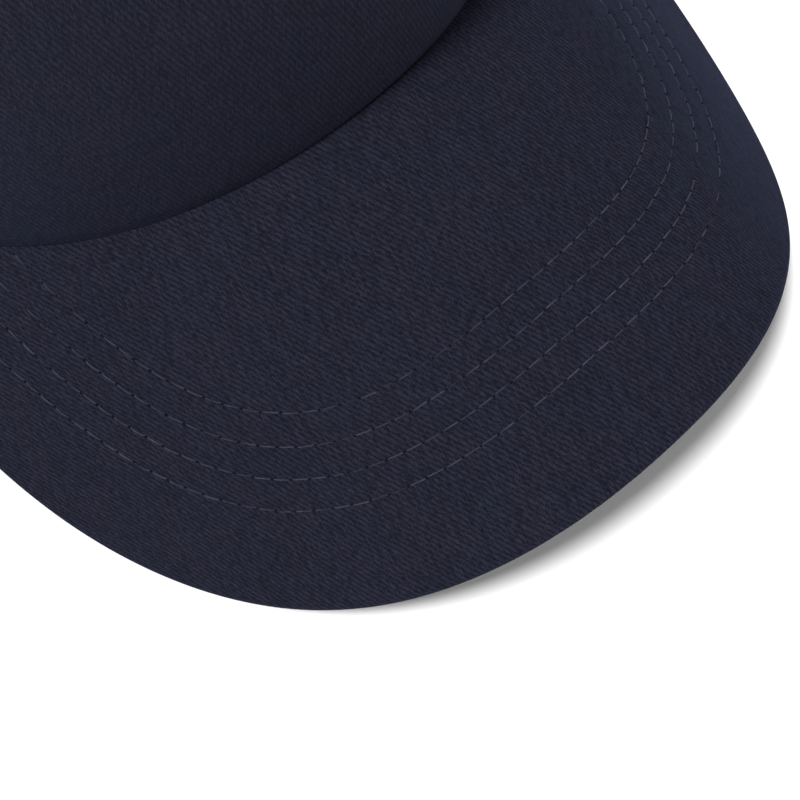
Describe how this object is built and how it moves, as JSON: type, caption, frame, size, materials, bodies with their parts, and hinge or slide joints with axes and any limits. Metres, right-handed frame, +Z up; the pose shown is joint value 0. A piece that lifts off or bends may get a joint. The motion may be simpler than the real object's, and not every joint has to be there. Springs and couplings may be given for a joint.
{
  "type": "baseball cap",
  "caption": "Structured baseball cap with a seamless front panel, a pre-curved stitched visor, a top button and an adjustable cloth back strap with a hinged metal clasp.",
  "frame": {"origin": "on the table under the middle of the cap's outer box", "axes": "+Z up, the visor points along -Y, +X is the wearer's left"},
  "size_m": [0.1648, 0.2628, 0.1535],
  "materials": {
    "navy_twill": "cotton twill, matt with a faint sheen",
    "thread": "polyester thread, satin",
    "lining": "plain cotton tape, matt",
    "buckram": "stiffened open weave, matt",
    "label": "woven satin, blank",
    "board_plastic": "satin polyethylene sheet",
    "buckle_metal": "brushed nickel plate"
  },
  "bodies": {
    "crown": {"crown_front_panel": "navy_twill", "crown_side_panel_right": "navy_twill", "crown_side_panel_left": "navy_twill", "crown_rear_panel_right": "navy_twill", "crown_rear_panel_left": "navy_twill", "front_buckram": "buckram", "seam_tape_front_right": "lining", "seam_tape_side_right": "lining", "seam_tape_rear": "lining", "seam_tape_side_left": "lining", "seam_tape_front_left": "lining", "rear_opening_binding": "lining", "sweatband": "lining", "care_label": "label", "visor_top_cover": "navy_twill", "visor_board": "board_plastic", "visor_under_cover": "navy_twill", "visor_stitch_row_1": "thread", "visor_stitch_row_2": "thread", "visor_stitch_row_3": "thread", "visor_stitch_row_4": "thread", "eyelet_side_right": "thread", "eyelet_rear_right": "thread", "eyelet_rear_left": "thread", "eyelet_side_left": "thread", "button_cover": "navy_twill", "button_shell": "buckle_metal", "button_tack": "buckle_metal", "buckle_frame": "buckle_metal", "buckle_pin": "buckle_metal", "buckle_tab": "navy_twill"},
    "strap": {"back_strap": "navy_twill"},
    "lever": {"buckle_lever": "buckle_metal"}
  },
  "joints": [
    {"name": "strap_adjust", "type": "hinge", "parent": "crown", "child": "strap", "pos_m": [0, 0.05755, 0.011], "axis": [0, 0, -1], "range_deg": [0, 18]},
    {"name": "lever_open", "type": "hinge", "parent": "crown", "child": "lever", "pos_m": [0.03038, 0.12641, 0.0107], "axis": [0, 0, -1], "range_deg": [0, 100]}
  ]
}
